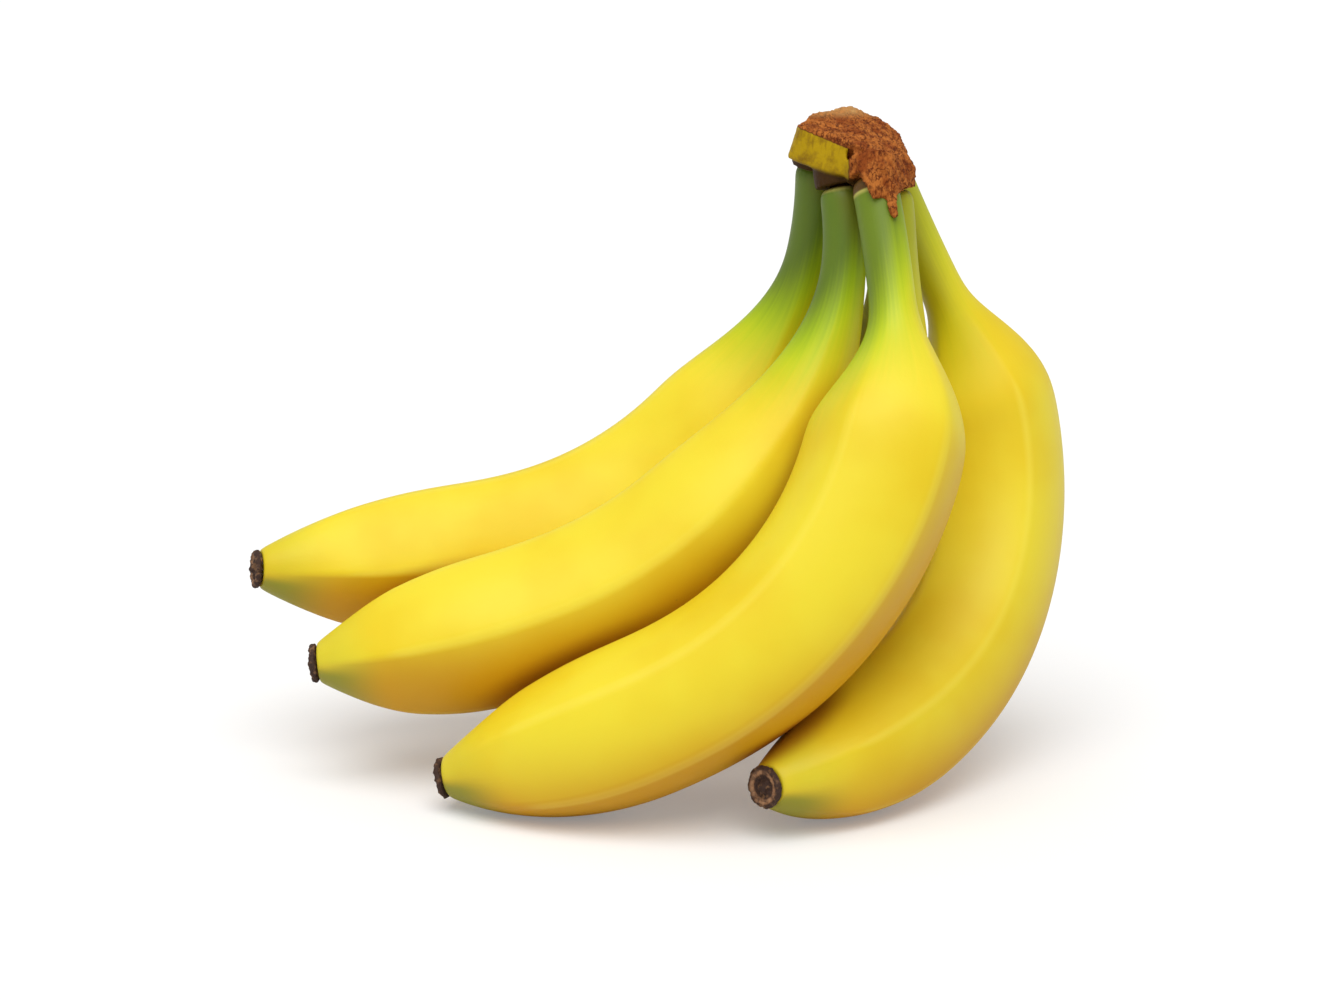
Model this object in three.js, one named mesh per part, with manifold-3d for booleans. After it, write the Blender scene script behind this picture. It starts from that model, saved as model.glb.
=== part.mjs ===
// A bunch of five bananas on one crown, lying on a flat surface.
// Millimetres, +Z up. X runs along the row of fingers, and Y runs from the open side to the back.
// Each banana, its dried blossom end and the crown are separate closed solids, a hair's gap apart.
import * as THREE from "three";
import Module from "manifold-3d";
import { mergeVertices } from "three/addons/utils/BufferGeometryUtils.js";

const wasm = await Module();
wasm.setup();

const JOIN_GAP = 0.3; // between a stem and the crown, and between a fruit and its blossom end
const SIDES = 20; // points round a banana's section
const RING_PITCH = 6; // along a banana
const RIDGE_HEIGHT = 0.03; // of the radius, for each of the five long ridges
const RIDGES = 5;
const STEM_LENGTH = 22; // where the bend of the stem starts to turn into the bend of the body
const BEND_BLEND = 33; // over which the stem's bend becomes the body's
const TIP_STRETCH = 75; // length of the far end, over which the bend relaxes
const TIP_BLEND = 40;
const SOCKET_DEPTH = 16; // length of stem that the crown is cut clear of
const COLLAR = { above: 3, below: 2.5, margin: 1.3 }; // the crown's rim round a stem's top

// One entry for each banana, from the back left finger to the right one, then the hidden back one.
// start: middle of the stem's top. yaw, pitch: which way the stem leaves the crown, in degrees.
// roll: turns the plane that the banana bends in. bend: degrees turned per 100 mm in the stem,
// the body and the far end. side: the same, out of that plane. radius: stem, body and tip.
// neck: where the stem starts to widen, and where it is full. ridge: where a ridge runs.
const FINGERS = [
  {
    start: [34.8, 40.6, 138.2], yaw: 83, pitch: -75, roll: -19, bend: [62, 70, 20], side: -3,
    length: 187, radius: [5.2, 16.9, 4.7], neck: [22, 72], taper: 49, ridge: -71,
  },
  {
    start: [39.4, 30.1, 136.1], yaw: -57, pitch: -71.6, roll: -139, bend: [80, 57, 23], side: -6.6,
    length: 181.5, radius: [5, 17.1, 4.65], neck: [16, 88], taper: 43, ridge: -97,
  },
  {
    start: [46.3, 22.8, 138.9], yaw: -70.7, pitch: -59.2, roll: -143.3, bend: [16, 72, 25], side: -3.5,
    length: 194, radius: [5.2, 17.7, 4.75], neck: [31, 63], taper: 47, ridge: -79,
  },
  {
    start: [50.8, 41.1, 137.8], yaw: 19.6, pitch: -65.4, roll: -112.3, bend: [-9, 92, 48], side: -8.6,
    length: 193.5, radius: [5, 15.8, 4.95], neck: [32, 62], taper: 45, ridge: -77,
  },
  {
    start: [51.1, 30.8, 130.7], yaw: -40.6, pitch: -82, roll: -88.4, bend: [47, 64, 11], side: 0,
    length: 183, radius: [5.2, 16.4, 5], neck: [7, 75], taper: 50, ridge: -80,
  },
];

// The crown: a dome of cut stalk, a rind-covered lobe on its front left side, and a torn flap that
// hangs over the two right-hand stems and ends in a drip. Each middle is in the bunch's frame.
const DOME = { middle: [43, 40.5], halfWidth: 13.4, halfDepth: 17, bottom: 127.5, top: 149.6 };
const LOBE = { middle: [34.9, 36, 142.6], size: [13.6, 16, 9.4], tilt: [0, 20, -18], edge: 2.6 };
const FLAP = { middle: [47.8, 24.6, 140.6], size: [14, 9, 15.5], tilt: [-40, 0, 30], edge: 3 };
const DRIP = { middle: [51.1, 15.3, 136.6], radius: 1.4, length: 6.5, tilt: [-34, 0, 0] };

const PEEL = { roughness: 0.45, metalness: 0 };
const PEEL_COLOURS = ["#e3cf2e", "#e8d53a", "#eddb4a", "#e9d655", "#e2c838"];
const CROWN_LOOK = { color: "#8d5a2c", roughness: 0.85, metalness: 0 };
const SCAR_LOOK = { color: "#3d261b", roughness: 0.9, metalness: 0 };

const radians = THREE.MathUtils.degToRad;
const ease = THREE.MathUtils.smoothstep;
const X_AXIS = new THREE.Vector3(1, 0, 0);
const Y_AXIS = new THREE.Vector3(0, 1, 0);
const Z_AXIS = new THREE.Vector3(0, 0, 1);

// A group that stands where a banana's stem starts: its Z runs down the stem and its X points the
// way that the banana bends.
function stemGroup(finger) {
  const [yaw, pitch, roll] = [finger.yaw, finger.pitch, finger.roll].map(radians);
  const along = new THREE.Vector3(
    Math.cos(pitch) * Math.cos(yaw),
    Math.cos(pitch) * Math.sin(yaw),
    Math.sin(pitch),
  );
  const level = new THREE.Vector3(-Math.sin(yaw), Math.cos(yaw), 0);
  const inward = level
    .clone()
    .multiplyScalar(Math.cos(roll))
    .addScaledVector(along.clone().cross(level), Math.sin(roll));
  const across = along.clone().cross(inward);
  const group = new THREE.Group();
  group.position.set(...finger.start);
  group.quaternion.setFromRotationMatrix(new THREE.Matrix4().makeBasis(inward, across, along));
  group.updateMatrix();
  return group;
}

// How fast the banana turns at a distance from its stem's top, in radians per millimetre.
function bendAt(finger, distance) {
  const [stem, body, tip] = finger.bend;
  const tipStart = finger.length - TIP_STRETCH;
  const intoBody = ease(distance, STEM_LENGTH, STEM_LENGTH + BEND_BLEND);
  const intoTip = ease(distance, tipStart, tipStart + TIP_BLEND);
  return radians(stem + (body - stem) * intoBody + (tip - body) * intoTip) / 100;
}

// Frames along a banana's middle line in its stem's group, at distances from the stem's top.
// A distance before 0 continues the stem straight up.
function framesAlong(finger, distances) {
  const frames = [];
  let at = new THREE.Vector3();
  let along = Z_AXIS.clone();
  let inward = X_AXIS.clone();
  let travelled = 0;
  for (const distance of distances) {
    if (distance <= 0) {
      const before = Z_AXIS.clone().multiplyScalar(distance);
      frames.push({ at: before, along, inward, across: Y_AXIS.clone(), distance });
      continue;
    }
    while (distance - travelled > 1e-9) {
      const stride = Math.min(1, distance - travelled);
      const turn = bendAt(finger, travelled + stride / 2) * stride;
      const drift = (radians(finger.side) / 100) * stride;
      const across = along.clone().cross(inward);
      const next = along
        .clone()
        .addScaledVector(inward, turn)
        .addScaledVector(across, drift)
        .normalize();
      at = at.clone().addScaledVector(along, stride / 2).addScaledVector(next, stride / 2);
      inward = inward.clone().addScaledVector(next, -inward.dot(next)).normalize();
      along = next;
      travelled += stride;
    }
    frames.push({ at, along, inward, across: along.clone().cross(inward), distance });
  }
  return frames;
}

// The banana's mean radius at a distance from its stem's top.
function radiusAt(finger, distance) {
  const [stem, body, tip] = finger.radius;
  const far = THREE.MathUtils.clamp((distance - finger.length + finger.taper) / finger.taper, 0, 1);
  const full = body - (body - tip) * far ** 2.2;
  return stem + (full - stem) * ease(distance, ...finger.neck);
}

// A ring of points round a frame, with a share of the full height of the ridges.
function ring(finger, frame, radius, ridged) {
  const points = [];
  for (let side = 0; side < SIDES; side += 1) {
    const angle = (side / SIDES) * 2 * Math.PI;
    const crest = RIDGE_HEIGHT * ridged * Math.cos(RIDGES * (angle - radians(finger.ridge)));
    const reach = radius * (1 + crest);
    points.push(
      frame.at
        .clone()
        .addScaledVector(frame.inward, reach * Math.cos(angle))
        .addScaledVector(frame.across, reach * Math.sin(angle)),
    );
  }
  return points;
}

// A closed skin over a run of rings, with a pole in the middle of each end.
function skin(rings) {
  const count = rings[0].length;
  const middle = (points) =>
    points.reduce((sum, p) => sum.add(p), new THREE.Vector3()).divideScalar(points.length);
  const points = [...rings.flat(), middle(rings[0]), middle(rings.at(-1))];
  const faces = [];
  rings.slice(1).forEach((_, row) => {
    for (let i = 0; i < count; i += 1) {
      const j = (i + 1) % count;
      const [a, b] = [row * count + i, row * count + j];
      faces.push(a, b, b + count, a, b + count, a + count);
    }
  });
  const last = (rings.length - 1) * count;
  const [nearPole, farPole] = [points.length - 2, points.length - 1];
  for (let i = 0; i < count; i += 1) {
    const j = (i + 1) % count;
    faces.push(nearPole, j, i, farPole, last + i, last + j);
  }
  const geometry = new THREE.BufferGeometry().setFromPoints(points);
  geometry.setIndex(faces);
  geometry.computeVertexNormals();
  return geometry;
}

// Evenly spaced distances from one to another, both included.
function spaced(from, to, pitch) {
  const steps = Math.ceil((to - from) / pitch);
  return Array.from({ length: steps + 1 }, (_, i) => from + ((to - from) * i) / steps);
}

function bananaGeometry(finger) {
  const { length, taper, neck } = finger;
  const farStart = length - taper / 2;
  const distances = [
    ...spaced(0, neck[0], RING_PITCH),
    ...spaced(neck[0], farStart, RING_PITCH).slice(1),
    ...spaced(farStart, length, RING_PITCH / 2).slice(1),
  ];
  const rings = framesAlong(finger, distances).map((frame) => {
    const near = ease(frame.distance, neck[0], neck[1]);
    const far = 1 - ease(frame.distance, farStart, length);
    return ring(finger, frame, radiusAt(finger, frame.distance), near * far);
  });
  return skin(rings);
}

// The dried flower's scar: a low dark disc with a sunk ring and a short point in the middle,
// turned about its own Y axis.
function blossomEndGeometry(tip) {
  const profile = [
    [0, 0],
    [tip * 0.86, 0],
    [tip * 0.98, 0.5],
    [tip * 0.9, 1.2],
    [tip * 0.72, 1.4],
    [tip * 0.5, 0.9],
    [tip * 0.3, 1],
    [tip * 0.2, 2.1],
    [0, 2.4],
  ];
  return new THREE.LatheGeometry(profile.map((corner) => new THREE.Vector2(...corner)), SIDES);
}

// A tube round the first part of a banana's middle line, wider than the stem by a margin, in the
// bunch's frame.
function stemSleeve(finger, from, to, margin) {
  const frames = framesAlong(finger, [from, ...spaced(0, to, 2)]);
  const tube = skin(frames.map((frame) => ring(finger, frame, finger.radius[0] + margin, 0)));
  return tube.applyMatrix4(stemGroup(finger).matrix);
}

function solid(geometry) {
  const bare = new THREE.BufferGeometry();
  bare.setAttribute("position", geometry.getAttribute("position"));
  bare.setIndex(geometry.index);
  const merged = mergeVertices(bare, 1e-4);
  return new wasm.Manifold(
    new wasm.Mesh({
      numProp: 3,
      vertProperties: merged.getAttribute("position").array,
      triVerts: new Uint32Array(merged.index.array),
    }),
  );
}

function geometryOf(shape) {
  const mesh = shape.getMesh();
  const geometry = new THREE.BufferGeometry();
  geometry.setAttribute("position", new THREE.BufferAttribute(mesh.vertProperties, 3));
  geometry.setIndex(new THREE.BufferAttribute(mesh.triVerts, 1));
  geometry.computeVertexNormals();
  return geometry;
}

// Turn a shape by angles in degrees about its own middle, and move it to a place.
function moved(geometry, middle, tilt) {
  const turn = new THREE.Euler(...tilt.map(radians), "ZYX");
  const placing = new THREE.Matrix4().makeRotationFromEuler(turn).setPosition(...middle);
  return geometry.applyMatrix4(placing);
}

// A soft cushion of a block, with a rounded outline and edges, centred on its own middle.
function softBlock({ middle, size, tilt, edge }) {
  const [width, depth, height] = size;
  const squareness = 0.55; // 1 makes the outline an ellipse, and 0 a box
  const bulge = (share) => Math.sign(share) * Math.abs(share) ** squareness;
  const corners = [];
  for (let side = 0; side < SIDES; side += 1) {
    const angle = (side / SIDES) * 2 * Math.PI;
    const right = (width / 2 - edge) * bulge(Math.cos(angle));
    const up = (height / 2 - edge) * bulge(Math.sin(angle));
    corners.push(new THREE.Vector2(right, up));
  }
  const block = new THREE.ExtrudeGeometry(new THREE.Shape(corners), {
    depth: depth - 2 * edge,
    steps: 1,
    bevelSize: edge,
    bevelThickness: edge,
    bevelSegments: 4,
  });
  block.translate(0, 0, edge - depth / 2).rotateX(Math.PI / 2);
  return moved(block, middle, tilt);
}

function domeGeometry() {
  const { middle, halfWidth, halfDepth, bottom, top } = DOME;
  // Reach as a share of the full half width, and height up the dome as a share.
  const profile = [
    [0, 0],
    [0.45, 0.03],
    [0.78, 0.14],
    [0.97, 0.36],
    [1, 0.55],
    [0.93, 0.76],
    [0.78, 0.9],
    [0.5, 0.98],
    [0, 1],
  ];
  const corners = profile.map(([reach, rise]) => new THREE.Vector2(reach, rise));
  const dome = new THREE.LatheGeometry(corners, 28);
  dome.rotateX(Math.PI / 2).scale(halfWidth, halfDepth, top - bottom);
  return dome.translate(...middle, bottom);
}

function crownGeometry() {
  const { above, below, margin } = COLLAR;
  const collars = FINGERS.map((finger) => solid(stemSleeve(finger, -above, below, margin)));
  const sockets = FINGERS.map((finger) =>
    solid(stemSleeve(finger, -JOIN_GAP, SOCKET_DEPTH, JOIN_GAP)),
  );
  const drip = new THREE.CapsuleGeometry(DRIP.radius, DRIP.length, 4, 12).rotateX(Math.PI / 2);
  const stalk = wasm.Manifold.union([
    solid(domeGeometry()),
    solid(softBlock(LOBE)),
    solid(softBlock(FLAP)),
    solid(moved(drip, DRIP.middle, DRIP.tilt)),
    ...collars,
  ]);
  return geometryOf(stalk.subtract(wasm.Manifold.union(sockets)));
}

function addMesh(group, name, geometry, look) {
  const mesh = new THREE.Mesh(geometry, new THREE.MeshStandardMaterial(look));
  mesh.name = name;
  group.add(mesh);
  return mesh;
}

// The bunch leans until its three lowest bananas touch the surface, and is centred over its origin.
const bunch = new THREE.Group();
const LEAN = { x: 0.25, y: -0.75 }; // degrees
const CENTRING = [2.57, -34.93, -0.85];
bunch.rotation.set(radians(LEAN.x), radians(LEAN.y), 0, "YXZ");
bunch.position.set(...CENTRING);

addMesh(bunch, "crown", crownGeometry(), CROWN_LOOK);
FINGERS.forEach((finger, i) => {
  const place = stemGroup(finger);
  bunch.add(place);
  const look = { ...PEEL, color: PEEL_COLOURS[i] };
  addMesh(place, `banana_${i + 1}`, bananaGeometry(finger), look);
  const [end] = framesAlong(finger, [finger.length]);
  const scar = addMesh(
    place,
    `blossom_end_${i + 1}`,
    blossomEndGeometry(finger.radius[2]),
    SCAR_LOOK,
  );
  scar.position.copy(end.at).addScaledVector(end.along, JOIN_GAP);
  scar.quaternion.setFromUnitVectors(Y_AXIS, end.along);
});

export default bunch;
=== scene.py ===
"""A bunch of five bananas on one crown, lying on a pale studio floor.

Every length is in metres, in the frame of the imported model: +Z up, X along the row of fingers and
+Y towards the back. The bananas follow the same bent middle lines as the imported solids.
"""

import logging
import math
from dataclasses import dataclass, field

import bpy
import numpy as np
from mathutils import Matrix, Vector

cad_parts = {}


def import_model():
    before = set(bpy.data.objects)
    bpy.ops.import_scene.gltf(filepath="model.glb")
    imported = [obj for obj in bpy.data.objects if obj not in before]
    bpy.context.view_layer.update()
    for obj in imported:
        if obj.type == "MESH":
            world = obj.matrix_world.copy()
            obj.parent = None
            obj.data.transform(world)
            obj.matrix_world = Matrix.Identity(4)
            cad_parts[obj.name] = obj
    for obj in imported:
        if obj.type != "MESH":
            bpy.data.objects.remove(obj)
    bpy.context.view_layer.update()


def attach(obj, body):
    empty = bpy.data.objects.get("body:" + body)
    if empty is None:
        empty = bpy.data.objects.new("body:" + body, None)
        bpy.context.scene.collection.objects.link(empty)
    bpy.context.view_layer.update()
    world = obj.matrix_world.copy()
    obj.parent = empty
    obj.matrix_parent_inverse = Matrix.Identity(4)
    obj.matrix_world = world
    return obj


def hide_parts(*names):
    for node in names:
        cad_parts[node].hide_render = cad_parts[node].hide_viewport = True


LOG = logging.getLogger("bananas")
MM = 0.001
TINY = 1e-9
SMALLEST_WEIGHT = 0.001
SHARP_EDGE = 60.0
BODY = "root"

# The bunch's lean on the surface, in degrees, and the shift that centres it over the origin.
LEAN_X = 0.25
LEAN_Y = -0.75
CENTRING = Vector((2.57, -34.93, -0.85)) * MM
SETTLED = (
    Matrix.Translation(CENTRING)
    @ Matrix.Rotation(math.radians(LEAN_Y), 4, "Y")
    @ Matrix.Rotation(math.radians(LEAN_X), 4, "X")
)


def ease(values: np.ndarray | float, low: float, high: float) -> np.ndarray:
    """Return a smooth step from 0 at low to 1 at high."""
    share = np.clip((values - low) / (high - low), 0.0, 1.0)
    return share * share * (3 - 2 * share)


# --- Modelling helpers ---------------------------------------------------------------------------


def deselect_all() -> None:
    """Leave every object unselected, in object mode."""
    if bpy.context.object and bpy.context.object.mode != "OBJECT":
        bpy.ops.object.mode_set(mode="OBJECT")
    bpy.ops.object.select_all(action="DESELECT")


def choose(piece: bpy.types.Object) -> None:
    """Make one object the selected and active one.

    Args:
        piece: the object.
    """
    deselect_all()
    piece.select_set(True)
    bpy.context.view_layer.objects.active = piece


def apply_place(piece: bpy.types.Object) -> None:
    """Move an object's place, turn and scale into its mesh."""
    choose(piece)
    bpy.ops.object.transform_apply(location=True, rotation=True, scale=True)


def apply_modifier(piece: bpy.types.Object, kind: str, **settings: object) -> None:
    """Add one modifier and apply it.

    Args:
        piece: the mesh object.
        kind: Blender's name for the modifier type.
        settings: the modifier's own settings.
    """
    choose(piece)
    modifier = piece.modifiers.new(kind.title(), kind)
    for name, value in settings.items():
        setattr(modifier, name, value)
    bpy.ops.object.modifier_apply(modifier=modifier.name)


def subdivide_smoothly(piece: bpy.types.Object, levels: int) -> None:
    """Apply a subdivision surface."""
    apply_modifier(piece, "SUBSURF", levels=levels, render_levels=levels)


def vertex_values(piece: bpy.types.Object, name: str) -> np.ndarray:
    """Read one vector of every vertex of a mesh.

    Args:
        piece: the mesh object.
        name: "co" for the vertices' places or "normal" for their normals.

    Returns:
        One vector in each row.
    """
    flat = np.empty(len(piece.data.vertices) * 3)
    piece.data.vertices.foreach_get(name, flat)
    return flat.reshape(-1, 3)


def add_attribute(piece: bpy.types.Object, name: str, values: np.ndarray) -> None:
    """Store one number for each vertex of a mesh."""
    layer = piece.data.attributes.new(name, "FLOAT", "POINT")
    layer.data.foreach_set("value", values.astype(np.float32))


def add_weights(piece: bpy.types.Object, name: str, weights: np.ndarray) -> None:
    """Store one weight for each vertex in a vertex group, for a modifier to read.

    Args:
        piece: the mesh object.
        name: the vertex group's name.
        weights: a weight of 0 to 1 for each vertex. The smallest are left out.
    """
    group = piece.vertex_groups.new(name=name)
    for index, weight in enumerate(weights):
        if weight > SMALLEST_WEIGHT:
            group.add([index], float(weight), "REPLACE")


def push_out(piece: bpy.types.Object, name: str, weights: np.ndarray, height: float) -> None:
    """Push a surface out along its normals, by a height times each vertex's weight.

    Args:
        piece: the mesh object.
        name: a name for the vertex group that is used and removed.
        weights: a weight of 0 to 1 for each vertex.
        height: how far a weight of 1 goes, in metres.
    """
    add_weights(piece, name, weights)
    apply_modifier(piece, "DISPLACE", vertex_group=name, strength=height, mid_level=0.0)
    piece.vertex_groups.remove(piece.vertex_groups[name])


def roughen(
    piece: bpy.types.Object, name: str, size: float, height: float, level: float, group: str = ""
) -> None:
    """Push a surface in and out by a cloudy pattern.

    Args:
        piece: the mesh object.
        name: the pattern's name.
        size: the clouds' size, in metres.
        height: how far apart the pattern's highest and lowest places are, in metres.
        level: the pattern's height that leaves the surface where it is, from 0 to 1.
        group: the vertex group whose weights scale the push, if any.
    """
    clouds = bpy.data.textures.new(name, "CLOUDS")
    clouds.noise_scale = size
    clouds.noise_depth = 3
    apply_modifier(
        piece,
        "DISPLACE",
        vertex_group=group,
        texture=clouds,
        texture_coords="LOCAL",
        strength=height,
        mid_level=level,
    )


def start_ring(name: str, sides: int, radius: float, at: Vector, turn: Matrix) -> bpy.types.Object:
    """Add a filled circle, ready in edit mode to be extruded into a tube.

    Args:
        name: the new piece's name.
        sides: how many corners the circle has.
        radius: its radius, in metres.
        at: its middle.
        turn: the turn that its flat face gets.

    Returns:
        The new object, with its whole mesh selected.
    """
    deselect_all()
    bpy.ops.mesh.primitive_circle_add(
        vertices=sides, radius=radius, fill_type="NGON", location=at, rotation=turn.to_euler()
    )
    piece = bpy.context.object
    piece.name = name
    piece.data.name = name
    apply_place(piece)
    bpy.ops.object.mode_set(mode="EDIT")
    bpy.ops.mesh.select_all(action="SELECT")
    return piece


def finish_tube() -> None:
    """Turn the edited mesh's faces outwards and leave edit mode."""
    bpy.ops.mesh.select_all(action="SELECT")
    bpy.ops.mesh.normals_make_consistent(inside=False)
    bpy.ops.object.mode_set(mode="OBJECT")


def show_smooth(piece: bpy.types.Object) -> None:
    """Shade a mesh smooth, but for its sharp edges."""
    choose(piece)
    bpy.ops.object.shade_smooth_by_angle(angle=math.radians(SHARP_EDGE))


# --- Shape of a banana ---------------------------------------------------------------------------


@dataclass
class Station:
    """One place on a banana's middle line, with the directions there."""

    at: Vector
    along: Vector
    inward: Vector
    distance: float

    @property
    def across(self) -> Vector:
        """The direction out of the plane that the banana bends in."""
        return self.along.cross(self.inward)

    @property
    def turn(self) -> Matrix:
        """The turn from the world's axes to inward, across and along."""
        return Matrix((self.inward, self.across, self.along)).transposed()


@dataclass(frozen=True)
class Finger:
    """One banana's shape, in millimetres and degrees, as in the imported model.

    start is the middle of the stem's top; yaw and pitch are the way the stem leaves the crown, and
    roll turns the plane that it bends in. bend is degrees turned per 100 mm in the stem, the body
    and the far end, and side is the same out of that plane. radius is that of the stem, the body
    and the tip. neck says where the stem starts to widen and where it is full, taper is the length
    of the far end that narrows, and ridge is the angle of one ridge round the section. rim is how
    far down the withered skin at the stem's top reaches, and climb is how far the peel runs up into
    the crown.
    """

    start: tuple[float, float, float]
    yaw: float
    pitch: float
    roll: float
    bend: tuple[float, float, float]
    side: float
    length: float
    radius: tuple[float, float, float]
    neck: tuple[float, float]
    taper: float
    ridge: float
    rim: float
    climb: float = 0.0

    STEM_LENGTH = 22.0
    STEM_BLEND = 33.0
    TIP_STRETCH = 75.0
    TIP_BLEND = 40.0
    BEND_SPAN = 100.0
    TIP_ROUNDNESS = 2.2
    LONGEST_STRIDE = 1.0

    def bend_at(self, distance: float) -> float:
        """Return how fast the banana bends at one place.

        Args:
            distance: how far down from the stem's top, in millimetres.

        Returns:
            The turn in radians per millimetre.
        """
        stem, body, tip = self.bend
        into_body = ease(distance, self.STEM_LENGTH, self.STEM_LENGTH + self.STEM_BLEND)
        tip_start = self.length - self.TIP_STRETCH
        into_tip = ease(distance, tip_start, tip_start + self.TIP_BLEND)
        turned = stem + (body - stem) * into_body + (tip - body) * into_tip
        return math.radians(turned) / self.BEND_SPAN

    def radius_at(self, distance: float) -> float:
        """Return how thick the banana is at one place.

        Args:
            distance: how far down from the stem's top, in millimetres.

        Returns:
            The mean radius, in millimetres.
        """
        stem, body, tip = self.radius
        far = min(max((distance - self.length + self.taper) / self.taper, 0.0), 1.0)
        full = body - (body - tip) * far**self.TIP_ROUNDNESS
        return stem + (full - stem) * ease(distance, *self.neck)

    def first_station(self) -> Station:
        """Work out the top of the stem.

        Returns:
            Its station, in millimetres, before the bunch leans.
        """
        yaw, pitch, roll = (math.radians(a) for a in (self.yaw, self.pitch, self.roll))
        flat = math.cos(pitch)
        along = Vector((flat * math.cos(yaw), flat * math.sin(yaw), math.sin(pitch)))
        level = Vector((-math.sin(yaw), math.cos(yaw), 0))
        inward = level * math.cos(roll) + along.cross(level) * math.sin(roll)
        return Station(Vector(self.start), along, inward, 0.0)

    def stations(self, distances: list[float]) -> list[Station]:
        """Walk down the middle line and return a station at each distance.

        Args:
            distances: rising distances from the stem's top, in millimetres. Those below 0 are
                above it, inside the crown.

        Returns:
            The stations, leant and centred as the bunch lies, in metres.
        """
        here = self.first_station()
        found = []
        for distance in distances:
            while distance - here.distance > TINY:
                here = self._stride(here, min(self.LONGEST_STRIDE, distance - here.distance))
            at = here.at + here.along * min(distance, 0.0)
            turn = SETTLED.to_3x3()
            found.append(
                Station(SETTLED @ (at * MM), turn @ here.along, turn @ here.inward, distance)
            )
        return found

    def _stride(self, here: Station, stride: float) -> Station:
        """Go a little way down the middle line.

        Args:
            here: the station to go from.
            stride: how far to go, in millimetres.

        Returns:
            The new station.
        """
        turn = self.bend_at(here.distance + stride / 2) * stride
        drift = math.radians(self.side) / self.BEND_SPAN * stride
        along = (here.along + here.inward * turn + here.across * drift).normalized()
        at = here.at + (here.along + along) * (stride / 2)
        inward = (here.inward - along * here.inward.dot(along)).normalized()
        return Station(at, along, inward, here.distance + stride)

    def locate(self, points: np.ndarray) -> tuple[np.ndarray, np.ndarray]:
        """Find where points lie on the banana.

        Args:
            points: one point in each row, in metres.

        Returns:
            The distance along in millimetres and the angle round in radians, for each point.
        """
        # One station each millimetre, so that a station's number is its distance.
        line = self.stations([float(d) for d in np.arange(0, self.length + 1, 1.0)])
        centres = np.array([s.at for s in line])
        gaps = ((points[:, None] - centres[None]) ** 2).sum(2)
        nearest = gaps.argmin(1)
        alongs = np.array([s.along for s in line])[nearest]
        inwards = np.array([s.inward for s in line])[nearest]
        acrosses = np.array([s.across for s in line])[nearest]
        away = points - centres[nearest]
        distance = nearest + (away * alongs).sum(1) / MM
        around = np.arctan2((away * acrosses).sum(1), (away * inwards).sum(1))
        return distance, around


FINGERS = (
    Finger(
        start=(34.8, 40.6, 138.2), yaw=83, pitch=-75, roll=-19, bend=(62, 70, 20), side=-3,
        length=187, radius=(5.2, 16.9, 4.7), neck=(22, 72), taper=49, ridge=-71, climb=2, rim=-1.6,
    ),
    Finger(
        start=(39.4, 30.1, 136.1), yaw=-57, pitch=-71.6, roll=-139, bend=(80, 57, 23), side=-6.6,
        length=181.5, radius=(5, 17.1, 4.65), neck=(16, 88), taper=43, ridge=-97, rim=1.3,
    ),
    Finger(
        start=(46.3, 22.8, 138.9), yaw=-70.7, pitch=-59.2, roll=-143.3, bend=(16, 72, 25), side=-3.5,
        length=194, radius=(5.2, 17.7, 4.75), neck=(31, 63), taper=47, ridge=-79, rim=4.4,
    ),
    Finger(
        start=(50.8, 41.1, 137.8), yaw=19.6, pitch=-65.4, roll=-112.3, bend=(-9, 92, 48), side=-8.6,
        length=193.5, radius=(5, 15.8, 4.95), neck=(32, 62), taper=45, ridge=-77, rim=2,
    ),
    Finger(
        start=(51.1, 30.8, 130.7), yaw=-40.6, pitch=-82, roll=-88.4, bend=(47, 64, 11), side=0,
        length=183, radius=(5.2, 16.4, 5), neck=(7, 75), taper=50, ridge=-80, climb=4.5, rim=-4,
    ),
)


# --- Materials -----------------------------------------------------------------------------------

Colour = tuple[float, float, float]


def from_screen(red: int, green: int, blue: int) -> Colour:
    """Change a screen colour into the linear colour that a shader takes.

    Args:
        red: the screen's red level, from 0 to 255.
        green: its green level.
        blue: its blue level.

    Returns:
        The linear colour.
    """

    def linear(level: int) -> float:
        """Undo the screen's own curve for one level."""
        share = level / 255
        return share / 12.92 if share <= 0.04045 else ((share + 0.055) / 1.055) ** 2.4

    return linear(red), linear(green), linear(blue)


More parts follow.
